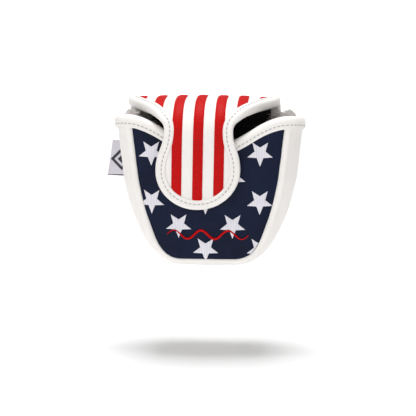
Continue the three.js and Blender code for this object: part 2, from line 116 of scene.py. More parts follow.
def corner_point(t):
    """A point and its outward direction on the curve from the foot up to the knee."""
    p = (
        (foot_half_width, foot_bulge),
        (lerp(foot_half_width, knee_half_width, foot_roundness), foot_bulge),
        (knee_half_width - knee_lean, lerp(knee_height, foot_bulge, knee_roundness)),
        (knee_half_width, knee_height),
    )
    p = np.array(p)
    u = 1 - t
    at = u**3 * p[0] + 3 * u * u * t * p[1] + 3 * u * t * t * p[2] + t**3 * p[3]
    way = u * u * (p[1] - p[0]) + 2 * u * t * (p[2] - p[1]) + t * t * (p[3] - p[2])
    way /= np.linalg.norm(way)
    return at, np.array((way[1], -way[0]))


def u_stations(top, side_steps=14, corner_steps=30, foot_steps=8):
    """(point, outward) round the whole U, from the left top to the right top."""
    right = [(np.array((foot_half_width * k / foot_steps, foot_bulge)), np.array((0.0, -1.0)))
             for k in range(foot_steps)]
    right += [corner_point(k / corner_steps) for k in range(corner_steps + 1)]
    tilt = np.array((1.0, -side_slope)) / math.hypot(1, side_slope)
    for k in range(1, side_steps + 1):
        z = lerp(knee_height, top, k / side_steps)
        right.append((np.array((seam_x(z), z)), tilt))
    left = [(np.array((-p[0], p[1])), np.array((-o[0], o[1]))) for p, o in right[1:]]
    return left[::-1] + right


def border_and(margin):
    """The border's width at a height, with a margin: it rolls under at the foot."""
    return lambda z: margin + lerp(foot_border_width, border_width, smooth(z, foot_bulge, border_full_height))


def u_outline(inset, top):
    """The U moved inwards, by a length or by a function of height."""
    inset_at = inset if callable(inset) else lambda z: inset
    return [p - o * inset_at(p[1]) for p, o in u_stations(top)]


def mouth_top(x):
    inside = min(1.0, abs(x) / mouth_dip_half_width)
    return mouth_height - mouth_dip * (1 + math.cos(math.pi * inside)) / 2


def bulge_at(z):
    return lerp(foot_bulge, side_bulge, smooth(z, foot_bulge, knee_height))


def front_outline(inset, below_mouth):
    """The U closed by the dipped mouth edge, so many millimetres under the binding's top."""
    sides = u_outline(inset, mouth_height - below_mouth)
    half = sides[-1][0]
    steps = 44
    mouth = []
    for k in range(1, steps):
        x = half - 2 * half * k / steps
        mouth.append(np.array((x, mouth_top(x) - below_mouth)))
    return sides + mouth


# %% [markdown]
# ## Cutting and laying cloth
# `cut` makes a flat piece from an outline and scores it with a grid, so that it can bend.
# `lay` puts every point of it in space. `finish_piece` turns a mesh into an object of the cover,
# gives it a material and smooth shading, and says which solids it stands for.

# %% Helpers for cloth
def map_cloth(mesh, flat):
    """Writes the UV map "cloth" in metres, where flat(x, z) is a point's place on the flat cloth."""
    cloth = mesh.loops.layers.uv.new("cloth")
    for face in mesh.faces:
        for loop in face.loops:
            loop[cloth].uv = [length * MM for length in flat(loop.vert.co.x, loop.vert.co.z)]
    return mesh


def cut(outline, step, window=(None, None, None, None)):
    """A flat mesh in X and Z inside an outline, scored by a grid and trimmed to a window."""
    mesh = bmesh.new()
    mesh.faces.new([mesh.verts.new((p[0], 0, p[1])) for p in outline])
    low = np.min(outline, axis=0)
    high = np.max(outline, axis=0)

    def score(place, axis, drop_below=False, drop_above=False):
        normal = (1, 0, 0) if axis == 0 else (0, 0, 1)
        bmesh.ops.bisect_plane(
            mesh,
            geom=mesh.verts[:] + mesh.edges[:] + mesh.faces[:],
            plane_co=[place * n for n in normal],
            plane_no=normal,
            clear_inner=drop_below,
            clear_outer=drop_above,
        )

    for axis in (0, 1):
        near, far = window[2 * axis], window[2 * axis + 1]
        if near is not None:
            score(near, axis, drop_below=True)
        if far is not None:
            score(far, axis, drop_above=True)
        first = low[axis] if near is None else near
        last = high[axis] if far is None else far
        count = max(1, round((last - first) / step))
        for k in range(1, count):
            score(lerp(first, last, k / count), axis)
    bmesh.ops.remove_doubles(mesh, verts=mesh.verts, dist=0.02)
    bmesh.ops.triangulate(mesh, faces=[f for f in mesh.faces if len(f.verts) > 4])
    return map_cloth(mesh, lambda x, z: (x, z))


def lay(mesh, place):
    """Moves every point (x, z) of a flat piece to place(x, z), in millimetres."""
    for v in mesh.verts:
        v.co = Vector(place(v.co.x, v.co.z))
    return mesh


def grid_mesh(rows):
    """A sheet through rows of points."""
    mesh = bmesh.new()
    made = [[mesh.verts.new(p) for p in row] for row in rows]
    for a, b in zip(made, made[1:]):
        for k in range(len(a) - 1):
            mesh.faces.new((a[k], a[k + 1], b[k + 1], b[k]))
    return mesh


def loft_mesh(rings, mesh=None):
    """A closed strip through rings of points, with a cap at each end."""
    mesh = mesh or bmesh.new()
    made = [[mesh.verts.new(p) for p in ring] for ring in rings]
    for a, b in zip(made, made[1:]):
        for k in range(len(a)):
            n = (k + 1) % len(a)
            mesh.faces.new((a[k], a[n], b[n], b[k]))
    mesh.faces.new(made[0][::-1])
    mesh.faces.new(made[-1])
    return mesh


def finish_piece(name, mesh, material, nodes=(), thickness=0.0, body="cover_body"):
    """An object in metres from a mesh in millimetres, thickened inwards, that rides on a body."""
    bmesh.ops.scale(mesh, vec=(MM, MM, MM), verts=mesh.verts)
    if not thickness:
        bmesh.ops.recalc_face_normals(mesh, faces=mesh.faces)
    data = bpy.data.meshes.new(name)
    mesh.to_mesh(data)
    mesh.free()
    obj = bpy.data.objects.new(name, data)
    bpy.context.scene.collection.objects.link(obj)
    if thickness:
        bpy.context.view_layer.objects.active = obj
        solidify = obj.modifiers.new("Solidify", "SOLIDIFY")
        solidify.thickness, solidify.offset = thickness * MM, -1
        bpy.ops.object.modifier_apply(modifier=solidify.name)
    data.materials.append(materials[material])
    data.shade_smooth()
    data.set_sharp_from_angle(angle=0.9)
    if body:
        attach(obj, body)
    if nodes:
        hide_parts(*nodes)
    print(f"{name}: {len(data.polygons)} faces")
    return obj


def face_outward(mesh, way):
    """Turns an open sheet so that its faces look along way, because Solidify goes inwards."""
    mesh.normal_update()
    total = sum((f.normal * f.calc_area() for f in mesh.faces), Vector())
    if total.dot(Vector(way)) < 0:
        bmesh.ops.reverse_faces(mesh, faces=mesh.faces)
    return mesh


def wander(x, y, z, size, height):
    """A soft unevenness: size is how far apart its humps are, height how tall."""
    return noise.noise(Vector((x, y, z)) / size) * height


# %% [markdown]
# ## Finishes
# Leather here is polyurethane on a knit: smooth, slightly glossy, with a printed pebble grain.
# The stripes and stars are satin stitch: parallel rayon threads that shine along their length.
# The inside is black fleece, with a grey plush on the side walls.
# One function adds a node, and each finish says what it gives the eye.

# %% Helpers for finishes
def linear(code):
    """An sRGB hex colour as linear RGBA."""
    channels = [int(code[k : k + 2], 16) / 255 for k in (1, 3, 5)]
    return (*[c / 12.92 if c <= 0.04045 else ((c + 0.055) / 1.055) ** 2.4 for c in channels], 1.0)


def add(tree, kind, inputs=None, **settings):
    """Adds a node: settings are its own, inputs are values or the sockets that feed it."""
    node = tree.nodes.new(f"ShaderNode{kind}")
    for key, value in settings.items():
        setattr(node, key, value)
    for key, value in (inputs or {}).items():
        socket = node.inputs[key]
        if isinstance(value, bpy.types.NodeSocket):
            tree.links.new(value, socket)
        else:
            socket.default_value = value
    return node


materials = {}


def new_material(name, **shader):
    """A material with its shader's plain sockets set. Returns its tree and the shader."""
    material = bpy.data.materials.new(name)
    material.use_nodes = True
    tree = material.node_tree
    bsdf = tree.nodes["Principled BSDF"]
    for key, value in shader.items():
        bsdf.inputs[key.replace("_", " ")].default_value = value
    materials[name] = material
    return tree, bsdf


def per_mm(size):
    """A texture's scale on coordinates in metres, for features that many millimetres apart."""
    return 1 / (size * MM)


def speckle(tree, size, detail, place=None):
    """Noise with features that many millimetres apart. Returns its value's socket."""
    place = place or add(tree, "TexCoord").outputs["Object"]
    inputs = {"Vector": place, "Scale": per_mm(size), "Detail": detail}
    return add(tree, "TexNoise", inputs).outputs["Fac"]


def wave_scale(size):
    """A wave texture's scale for bands that many millimetres apart."""
    return per_mm(size) * math.pi / 10


def mix_colour(tree, factor, a, b):
    """Mixes two colours, each a hex code or a socket. Returns the mixed socket."""
    mixer = add(tree, "Mix", {0: factor}, data_type="RGBA")
    for index, value in ((6, a), (7, b)):
        if isinstance(value, str):
            mixer.inputs[index].default_value = linear(value)
        else:
            tree.links.new(value, mixer.inputs[index])
    return mixer.outputs[2]


def bump_from(tree, bsdf, height, depth_mm, strength):
    bump = add(tree, "Bump", {"Height": height, "Strength": strength, "Distance": depth_mm * MM})
    tree.links.new(bump.outputs["Normal"], bsdf.inputs["Normal"])


def leather(name, light, dark, roughness, grain_mm, grain_strength, gloss):
    """Pebbled polyurethane leather: small round grains, soft gloss and a faint uneven tone."""
    tree, bsdf = new_material(name, IOR=1.5, Specular_IOR_Level=gloss)
    place = add(tree, "TexCoord").outputs["Object"]
    grain = add(tree, "TexVoronoi", {"Vector": place, "Scale": per_mm(grain_mm)})
    crease = speckle(tree, 3 * grain_mm, 3.0)
    colour = mix_colour(tree, speckle(tree, 24, 2.0), light, dark)
    tree.links.new(colour, bsdf.inputs["Base Color"])
    rough = add(tree, "MapRange", {"Value": crease, "To Min": roughness - 0.08, "To Max": roughness + 0.1})
    tree.links.new(rough.outputs["Result"], bsdf.inputs["Roughness"])
    height = add(tree, "Math", {0: grain.outputs["Distance"], 1: crease}, operation="ADD")
    bump_from(tree, bsdf, height.outputs["Value"], 0.12, grain_strength)


def satin_stitch(name, light, dark, across, thread_mm):
    """Satin stitch: parallel threads, with a sheen and fine lines of painted shade between them."""
    tree, bsdf = new_material(name, IOR=1.53, Roughness=0.55, Specular_IOR_Level=0.12)
    place = add(tree, "UVMap", uv_map="cloth").outputs["UV"]
    threads = add(
        tree,
        "TexWave",
        {"Vector": place, "Scale": wave_scale(thread_mm), "Distortion": 1.2, "Detail": 2.0},
        wave_type="BANDS",
        bands_direction=across,
    )
    # Between the threads the colour goes to the dark tone: painted shade in the grooves.
    groove_shade = add(tree, "MapRange", {"Value": threads.outputs["Fac"], "From Max": 0.75})
    colour = mix_colour(tree, groove_shade.outputs["Result"], dark, light)
    worn = add(tree, "Math", {0: speckle(tree, 6, 1.0, place), 1: 0.35}, operation="MULTIPLY")
    colour = mix_colour(tree, worn.outputs["Value"], colour, dark)
    tree.links.new(colour, bsdf.inputs["Base Color"])
    bump_from(tree, bsdf, threads.outputs["Fac"], 0.15, 0.5)


# %% The cover's finishes
leather("white_leather", "#F2EFEC", "#E9E5E1", 0.46, 0.9, 0.35, 0.4)
leather("navy_leather", "#16203C", "#0C1222", 0.52, 0.9, 0.6, 0.1)
# The threads are 0.4 mm apart on the cover, drawn at over 1 mm so that they show.
satin_stitch("red_thread", "#D20000", "#A20000", "Y", 1.2)
satin_stitch("star_thread", "#ECEAEF", "#CDCAD5", "X", 1.1)


def pile(name, light, dark, tuft_mm, depth_mm):
    """A napped fabric: painted shade between soft clumps, with a sheen that lifts its edges."""
    tree, bsdf = new_material(name, Roughness=0.95, Sheen_Weight=0.4, Sheen_Roughness=0.6)
    bsdf.inputs["Specular IOR Level"].default_value = 0.1
    tufts = speckle(tree, tuft_mm, 4.0)
    # The colour goes dark between the clumps: painted shade in the nap's hollows.
    tree.links.new(mix_colour(tree, tufts, dark, light), bsdf.inputs["Base Color"])
    bump_from(tree, bsdf, tufts, depth_mm, 0.8)


pile("black_fleece", "#141416", "#020203", 1.6, 0.8)
pile("grey_plush", "#EFECE9", "#A8A29E", 2.4, 1.4)


def sewing_thread():
    """Polyester thread in the binding's seams: off-white, drawn in greys that hold painted shade, twisted, a
    little shiny.
    """
    tree, bsdf = new_material("sewing_thread", Roughness=0.55, Sheen_Weight=0.2)
    twist = speckle(tree, 0.6, 2.0)
    # The two greys are the off-white thread with painted shade laid over it.
    tree.links.new(mix_colour(tree, twist, "#9C9998", "#C2BFBD"), bsdf.inputs["Base Color"])


def nickel_plate():
    """Nickel-plated magnet: a grey mirror, dulled by fine tumbling marks."""
    tree, bsdf = new_material("magnet", Metallic=1.0)
    bsdf.inputs["Base Color"].default_value = linear("#A9A6A0")
    rough = add(tree, "MapRange", {"Value": speckle(tree, 1.5, 4.0), "To Min": 0.22, "To Max": 0.42})
    tree.links.new(rough.outputs["Result"], bsdf.inputs["Roughness"])


sewing_thread()
nickel_plate()
print("finishes:", ", ".join(materials))

# %% [markdown]
# ## The padded front and back
# Each panel is cut from the U, then crowned: it rises away from its seams, as padding lifts it.
# A cloth simulation could blow it up like a cushion. Here every edge is held by a seam, so a formula
# of the distance to the nearest edge gives the same crown, and the same result each time.

# %% Panels
panel_crown, back_crown = 1.6, 1.1
panel_depth = 3.8  # leather and padding
crown_run = 7.0  # how far from a seam the crown takes to rise
panel_grid = 2.6


def edge_distance(outline):
    """A function that gives how far inside an outline a point is."""
    a = np.array(outline)
    b = np.roll(a, -1, axis=0)
    way = b - a
    square = np.maximum((way**2).sum(axis=1), 1e-9)

    def distance(x, z):
        t = np.clip((((x, z) - a) * way).sum(axis=1) / square, 0, 1)
        return float(np.sqrt((((a + way * t[:, None]) - (x, z)) ** 2).sum(axis=1)).min())

    return distance


navy_outline = front_outline(border_and(-0.5), edge_cover + 2.5)
field_outline = front_outline(border_and(0), edge_cover + 6)
from_seam = edge_distance(field_outline)


def front_face(x, z):
    """How far the front panel's face stands forward at a point."""
    lift = panel_crown * (1 - math.exp(-from_seam(x, z) / crown_run))
    return -panel_face - lift - wander(x, 0, z, 17, 0.35)


back_top = hinge_height - 0.1
back_outline = u_outline(border_and(-0.5), back_top)
from_back_seam = edge_distance(u_outline(border_and(0), back_top + 14))


def back_face(x, z):
    """How far back the back panel's face stands: flat near its top, where the flap joins it."""
    lift = back_crown * (1 - math.exp(-from_back_seam(x, z) / crown_run))
    lift *= 1 - smooth(z, back_top - 30, back_top)
    return panel_face + lift + wander(x, 40, z, 17, 0.3) * (1 - smooth(z, back_top - 20, back_top))


def panel(name, outline, face, sign, material, nodes):
    """A padded panel that looks forwards (sign -1) or back (1)."""
    mesh = lay(cut(outline, panel_grid), lambda x, z: (x, face(x, z), z))
    obj = finish_piece(name, face_outward(mesh, (0, sign, 0)), material, nodes, panel_depth)


nodes = ["front_panel", "front_foam"]
panel("navy_front_panel", navy_outline, lambda x, z: front_face(x, z) + 0.15, -1, "navy_leather", nodes)
nodes = ["back_panel", "back_foam"]
panel("white_back_panel", back_outline, back_face, 1, "white_leather", nodes)

# %% [markdown]
# ## The rolled border
# A strip of white leather is rolled over a filler and sewn between the panel and the side wall.
# A curve with a bevel could draw it too. Here one half-round section is carried round the U, so that
# it can grow narrower towards the foot.

# %% Border
border_rise, border_seat, border_depth = 1.9, 0.7, 2.0
border_front_drop = 6.0  # from the mouth's top down to the border's end, under the binding
round_steps = 10


def border(name, sign, top, node):
    """The rolled strip round a panel: sign -1 is the front, 1 the back."""
    full_half = (border_width + 0.3) / 2
    rings = []
    for at, out in u_stations(top, 18, 40, 8):
        half = border_and(0.3)(at[1]) / 2
        ring = []
        for k in range(round_steps + 1):
            turn = math.pi * k / round_steps
            across = -half + 0.1 + half * math.cos(turn)
            swell = math.sin(turn) ** 0.8 if 0 < k < round_steps else 0.0
            rise = border_rise * (half / full_half) ** 0.7 * swell
            rise += wander(at[0], sign * 30, at[1], 9, 0.25)
            y = sign * (panel_face - border_seat + rise)
            ring.append((at[0] + out[0] * across, y, at[1] + out[1] * across))
        for across in (-2 * half + 0.3, -0.1):
            y = sign * (panel_face - border_depth)
            ring.append((at[0] + out[0] * across, y, at[1] + out[1] * across))
        rings.append(ring)
    finish_piece(name, loft_mesh(rings), "white_leather", [node])


border("rolled_front_border", -1, mouth_height - border_front_drop, "front_border")
border("rolled_back_border", 1, back_top, "back_border")

# %% [markdown]
# ## The side wall
# One long strip runs down one side, under the foot and up the other. Padding makes it bulge
# between its two seams, and the leather puckers a little along them. It is a grid of points: round
# the U one way, and from the front seam to the back seam the other.

# %% Side wall
wall_depth = 3.9  # leather and padding
pucker_height = 0.18


def wall_crown(y, half_depth):
    """The bulge's share at a depth: full in the middle, nothing at the two seams."""
    run = abs(y) / half_depth
    return max(0.0, 1 - run**2.7) ** 0.8


def side_top(y):
    """The wall's top edge falls a little towards the back."""
    return mouth_height - edge_cover - side_top_drop * (y + panel_face) / (2 * panel_face)


def wall_rows(inward, half_depth, puckers, columns=26):
    """Rows of points round the U, at a depth of material inside the wall's outer face."""
    rows = []
    stations = u_stations(mouth_height - edge_cover, 18, 36, 8)
    for at, out in stations:
        row = []
        for k in range(columns + 1):
            y = half_depth * math.sin(math.pi * (k / columns - 0.5))
            z0 = at[1]
            x0 = abs(at[0])
            if z0 > knee_height:
                share = (z0 - knee_height) / (mouth_height - edge_cover - knee_height)
                z0 = lerp(knee_height, side_top(y), share)
                x0 = seam_x(z0)
            near_seam = (abs(y) / half_depth) ** 4
            pucker = puckers * near_seam * math.sin(at[0] * 0.55 + at[1] * 0.71)
            soft = wander(at[0], y, at[1], 15, 0.5 if puckers else 0.0)
            offset = bulge_at(z0) * wall_crown(y, half_depth) - inward + pucker + soft * (1 - near_seam)
            if z0 < foot_bulge + 0.01:
                offset -= soft
            row.append((math.copysign(x0, at[0]) + out[0] * offset, y, z0 + out[1] * offset))
        rows.append(row)
    return rows


def side_wall():
    mesh = face_outward_wall(grid_mesh(wall_rows(0, wall_half_depth + 0.4, pucker_height)))
    nodes = ["gusset", "gusset_foam"]
    obj = finish_piece("padded_side_wall", mesh, "white_leather", nodes, wall_depth)
    mesh = face_outward_wall(grid_mesh(wall_rows(4.3, wall_half_depth - 4.5, 0.0, 16)))
    for v in mesh.verts:
        v.co += v.normal * wander(v.co.x, v.co.y, v.co.z, 3.5, 0.5)
    finish_piece("plush_wall_lining", mesh, "grey_plush", ["gusset_lining"], 1.6)


def face_outward_wall(mesh):
    """The wall's faces look away from the pouch's middle."""
    mesh.normal_update()
    middle = Vector((0, 0, 60))
    if sum(f.normal.dot(f.calc_center_median() - middle) for f in mesh.faces) < 0:
        bmesh.ops.reverse_faces(mesh, faces=mesh.faces)
    mesh.normal_update()
    return mesh


side_wall()

# %% [markdown]
# ## The black lining
# The front and back are lined with fleece, which shows through the gaps beside the flap. Each
# lining is the same U again, a little smaller and further in.

# %% Linings of the front and back
def lining(name, outline, y, sign, nodes):
    mesh = lay(cut(outline, 3.0), lambda x, z: (x, y + sign * wander(x, y, z, 5, 0.35), z))
    face_outward(mesh, (0, sign, 0))
    finish_piece(name, mesh, "black_fleece", nodes, 1.2)


inner_face = panel_face - wall_thickness
lining("black_front_lining", front_outline(6.5, edge_cover + 2), -inner_face, 1, ["front_lining"])
lining("black_back_lining", u_outline(3.2, back_top), inner_face, -1, ["back_lining"])

# %% [markdown]
# ## The mouth's binding
# A folded strip covers the raw edges of the whole mouth: over one side wall, round the corner,
# down and up the dip of the front, and back over the other side wall. The section is a soft
# arch with a shallow channel where the seam pulls it down.

# %% Mouth binding
stitch_down = 5.7
corner_start = 5.5  # inside the seam, where the path leaves the straight front
front_steps, turn_steps = 26, 14
arch = [
    (4.15, 8.5), (4.4, 7.4), (4.35, 6.4), (4.05, stitch_down), (4.4, 5.0), (4.45, 3.6), (4.1, 2.0),
    (3.1, 0.7), (1.6, 0.1), (0.0, 0.0), (-1.6, 0.1), (-3.1, 0.7), (-4.1, 2.0), (-4.4, 4.0), (-4.2, 8.5),
    (-3.4, 8.5), (-3.4, 3.0), (-2.4, 1.6), (0.0, 1.1), (2.4, 1.6), (3.4, 3.0), (3.4, 8.5),
]
wall_middle = panel_face - wall_thickness / 2 + 0.2


def mouth_path():
    """(x, y, top, slope) along the middle of the wall's top edge, from the front's middle rightwards."""
    reach = seam_half_width - corner_start
    points = [(reach * k / front_steps, -wall_middle) for k in range(front_steps + 1)]
    side = seam_half_width + side_bulge - wall_thickness / 2 - 0.2
    corner = [(reach, -wall_middle), (side - 1.2, -wall_middle + 1.0), (side - 0.5, -11.0)]
    for k in range(1, turn_steps + 1):
        t = k / turn_steps
        u = 1 - t
        a, b, c = corner
        points.append(tuple(u * u * a[i] + 2 * u * t * b[i] + t * t * c[i] for i in (0, 1)))
    points += [(side - 0.5 + 0.5 * smooth(y, -11, -3) - 0.4 * smooth(y, 4, 14), y) for y in range(-9, 15, 2)]
    made = []
    for x, y in points:
        on_side = smooth(y, -wall_middle, -wall_middle + 8)
        top = lerp(mouth_top(x), side_top(y) + edge_cover, on_side)
        top += wander(x, y, 0, 14, 0.5)
        made.append((x, y, top, on_side))
    return made


def mouth_stations():
    """Each station's middle, outward direction, top and side slope, from the left end to the right."""
    right = mouth_path()
    left = [(-x, y, top + wander(x, y, 50, 14, 0.5), s) for x, y, top, s in right[1:]]
    path = left[::-1] + right
    made = []
    for k, (x, y, top, on_side) in enumerate(path):
        before, after = path[max(0, k - 1)], path[min(len(path) - 1, k + 1)]
        way = np.array((after[0] - before[0], after[1] - before[1]))
        way = way / np.linalg.norm(way)
        slope = on_side * math.copysign(side_slope, x)
        made.append((np.array((x, y)), np.array((way[1], -way[0])), top, slope))
    return made


def mouth_point(station, across, down):
    middle, out, top, slope = station
    flat = middle + out * across
    return Vector((flat[0] - slope * down, flat[1], top - down))


rings = [[mouth_point(s, across, down) for across, down in arch] for s in mouth_stations()]
finish_piece("folded_mouth_binding", loft_mesh(rings), "white_leather", ["mouth_binding"])

# %% [markdown]
# ## Stitches
# The bindings are sewn with a lock stitch of about 3 mm. Each stitch is a short thread that dips
# into the leather at both ends. A row is made by walking a line of points at an even pace.

# %% Stitches
stitch_pitch, stitch_length, stitch_radius = 3.0, 2.0, 0.33


def stitch_row(mesh, points, normals):
    """Adds stitches along a line of points on a surface to a mesh."""
    points = np.array([tuple(p) for p in points])
    normals = np.array([tuple(n) for n in normals])
    steps = np.linalg.norm(np.diff(points, axis=0), axis=1)
    along = np.concatenate([[0], np.cumsum(steps)])

    def at(s):
        return (
            Vector([np.interp(s, along, points[:, i]) for i in range(3)]),
            Vector([np.interp(s, along, normals[:, i]) for i in range(3)]).normalized(),
        )

    for k in range(int((along[-1] - 1) / stitch_pitch)):
        start = 0.5 + k * stitch_pitch
        rings = []
        for t in (0, 0.12, 0.35, 0.65, 0.88, 1):
            place, up = at(start + t * stitch_length)
            way = (at(start + t * stitch_length + 0.2)[0] - place).normalized()
            side = way.cross(up)
            size = stitch_radius * (0.45 if t in (0, 1) else 1.0)
            lift = -0.25 if t in (0, 1) else 0.12
            ring = [
                place + up * (lift + size * math.sin(a)) + side * size * math.cos(a)
                for a in (math.pi * 2 * n / 6 for n in range(6))
            ]
            rings.append(ring)
        loft_mesh(rings, mesh)


def mouth_stitches():
    stations = mouth_stations()
    points = [mouth_point(s, 4.1, stitch_down) for s in stations]
    normals = [Vector((s[1][0], s[1][1], 0)) for s in stations]
    mesh = bmesh.new()
    stitch_row(mesh, points, normals)
    finish_piece("mouth_stitches", mesh, "sewing_thread")


mouth_stitches()

# %% [markdown]
# ## Stars and the wave
# The stars are white satin stitch. Each is cut flat, trimmed where it runs off the panel, and laid
# on the crowned leather. A plain red wave crosses the lower panel, stitched over the stars.

# %% Embroidery on the front
star_radius, star_waist = 9.1, 0.43
star_column, star_row = 18.5, 16.65
star_origin = (-1.6, 81.5)
star_places = [(-2, 0), (2, 0), (-1, 1), (1, 1), (-2, 2), (0, 2), (2, 2), (-1, 3), (1, 3), (0, 4), (2, 4)]


def clip_to_panel(points, inset):
    """Cuts off what runs past the U's seam, because the border is sewn over it."""
    for edge, out in u_stations(mouth_height, 6, 24, 4):
        kept = []
        for k, p in enumerate(points):
            q = points[(k + 1) % len(points)]
            far_p = np.dot(p - edge, out) + inset(edge[1])
            far_q = np.dot(q - edge, out) + inset(edge[1])
            if far_p <= 0:
                kept.append(p)
            if far_p * far_q < 0:
                kept.append(lerp(p, q, far_p / (far_p - far_q)))
        points = kept
    return points


def star_outline(x, z):
    points = []
    for k in range(10):
        radius = star_radius * (star_waist if k % 2 else 1.0)
        turn = -math.pi / 2 + k * math.pi / 5
        points.append(np.array((x + radius * math.cos(turn), z + radius * math.sin(turn))))
    return clip_to_panel(points, border_and(0.1))


def embroider(name, outline, step, lift, material, nodes):
    """Satin stitch over a shape: fat in the middle, thin at its rim."""
    rim = edge_distance(outline)
    mesh = cut(outline, step)

    def place(x, z):
        rise = lift + 0.4 * math.sqrt(min(1.0, rim(x, z) / 1.6))
        return (x, front_face(x, z) - rise, z)

    face_outward(lay(mesh, place), (0, -1, 0))
    finish_piece(name, mesh, material, nodes, 0.8)


for number, (column, row) in enumerate(star_places, 1):
    outline = star_outline(star_origin[0] + column * star_column, star_origin[1] - row * star_row)
    embroider(f"stitched_star_{number:02d}", outline, 1.2, 0.2, "star_thread", [f"star_{number:02d}"])

wave_length, wave_height, wave_width, wave_middle = 56.0, 3.0, 1.7, 25.0
wave_turn = 6 * math.pi  # three full waves
wave_taper = 0.35  # the width's share at the ends


def red_wave():
    rings = []
    steps = 120
    for k in range(steps + 1):
        share = k / steps
        x = (share - 0.5) * wave_length
        z = wave_middle + wave_height * math.sin(wave_turn * share)
        slope = wave_turn * wave_height / wave_length * math.cos(wave_turn * share)
        side = np.array((-slope, 1.0)) / math.hypot(1, slope)
        half = wave_width / 2 * lerp(wave_taper, 1, math.sin(math.pi * share))
        face = front_face(x, z) - 0.25
        ring = []
        for n in range(9):
            turn = math.pi * n / 8
            away = side * half * math.cos(turn)
            ring.append((x + away[0], face - 0.75 * math.sin(turn), z + away[1]))
        rings.append(ring)
    mesh = map_cloth(loft_mesh(rings), lambda x, z: (z, x))
    finish_piece("stitched_red_wave", mesh, "red_thread", ["front_flourish"])


red_wave()

# %% [markdown]
# ## Red stripes on the back
# Seven broad bands of red satin stitch run down the back and carry on over the flap.

# %% Back stripes
stripe_count, stripe_pitch, stripe_width = 7, 14.3, 6.9
flap_offset = -4.6
stripe_offsets = [(k - (stripe_count - 1) / 2) * stripe_pitch for k in range(stripe_count)]


def stripe_rise(across):
    """A band of satin stitch is fat in its middle and thin at its edges."""
    return 0.25 + 0.55 * math.sqrt(max(0.0, 1 - (2 * across / stripe_width) ** 4))


def join(meshes):
    """One mesh from many."""
    whole = bmesh.new()
    for mesh in meshes:
        data = bpy.data.meshes.new("part")
        mesh.to_mesh(data)
        mesh.free()
        whole.from_mesh(data)
        bpy.data.meshes.remove(data)
    return whole


def back_stripes():
    field = u_outline(border_and(0.2), back_top)
    strips = []
    for offset in stripe_offsets:
        middle = flap_offset + offset
        window = (middle - stripe_width / 2, middle + stripe_width / 2, None, None)
        strip = lay(cut(field, 1.4, window), lambda x, z: (x, back_face(x, z) + stripe_rise(x - middle), z))
        strips.append(face_outward(strip, (0, 1, 0)))
    nodes = [f"back_stripe_{k + 1}" for k in range(stripe_count)]
    finish_piece("stitched_back_stripes", join(strips), "red_thread", nodes, 0.7)


back_stripes()

# %% [markdown]
# ## The flap
# The flap is one padded piece: a broad yoke over the mouth that narrows to a tongue. It is drawn
# flat, as (across, along), and carried onto its side view: up from the back seam, over the crest
# and straight down the front.

# %% The flap's side view
crest_height, crest_setback = box_mm("flap_top_panel")[1][2], 4.0
tongue_face = -box_mm("tongue_panel")[0][1]
shoulder_height, tip_height, fold_height = 88.0, 43.0, 94.0
wing_droop, droop_power, droop_lateness = 4.6, 1.5, 1.7
flap_lean = math.tan(math.radians(1.0))
wing_half_width, wing_side, wing_corner = 53.5, 36.0, 6.0
neck_half_width, notch_height, notch_corner = 23.3, 101.0, 4.0
lobe_half_width, lobe_length = 28.8, 27.0
flap_binding_width = 7.0


def bezier(points, steps):
    """Points along a curve with two or three guiding points between its ends."""
    made = []
    for k in range(steps + 1):
        row = [np.array(p, float) for p in points]
        while len(row) > 1:
            row = [lerp(a, b, k / steps) for a, b in zip(row, row[1:])]
        made.append(row[0])
    return made


rise_points = [
    (panel_face, hinge_height),
    (panel_face, lerp(hinge_height, crest_height, 0.6)),
    (lerp(crest_setback, panel_face, 0.64), crest_height),
    (crest_setback, crest_height),
]
fall_points = [
    (crest_setback, crest_height),
    (lerp(crest_setback, -tongue_face, 0.6), crest_height),
    (-tongue_face, lerp(shoulder_height, crest_height, 0.88)),
    (-tongue_face, shoulder_height),
]
rise_steps, fall_steps = 200, 300
over_the_mouth = bezier(rise_points, rise_steps) + bezier(fall_points, fall_steps)[1:]
side_view = np.array(over_the_mouth + [(-tongue_face, tip_height)])
steps_along = np.linalg.norm(np.diff(side_view, axis=0), axis=1)
side_view_along = np.concatenate([[0], np.cumsum(steps_along)])
flap_length = side_view_along[-1]
crest_along = float(side_view_along[rise_steps])


def side_view_at(along):
    return np.array([np.interp(along, side_view_along, side_view[:, i]) for i in (0, 1)])


def along_at_height(z):
    """How far along the flap its front half comes down to a height."""
    front_half = side_view[rise_steps:, 1]
    return float(np.interp(-z, -front_half, side_view_along[rise_steps:]))


fold_along = along_at_height(fold_height)
notch_along = along_at_height(notch_height)


def flap_point(x, along, rise):
    """A place on the flat flap, raised off the leather, carried onto the folded flap."""
    a, b = side_view_at(max(0, along - 0.4)), side_view_at(min(flap_length, along + 0.4))
    way = (b - a) / np.linalg.norm(b - a)
    at = side_view_at(along)
    sag = math.sin(math.pi * min(1.0, max(0.0, along) / fold_along) ** droop_lateness) ** 2
    droop = wing_droop * (abs(x) / wing_half_width) ** droop_power * sag
    return (
        flap_offset - flap_lean * along + x,
        at[0] + way[1] * rise,
        at[1] - way[0] * rise - droop,
    )


print("flap", round(flap_length, 1), "crest at", round(crest_along, 1), "fold at", round(fold_along, 1))

# %% [markdown]
# ## The flap's outline
# The edge is straight at the hinge, then has rounded wings, a concave neck and a round lobe. One
# half is drawn and mirrored. Insets of the same line place the leather, the stripes and the binding.

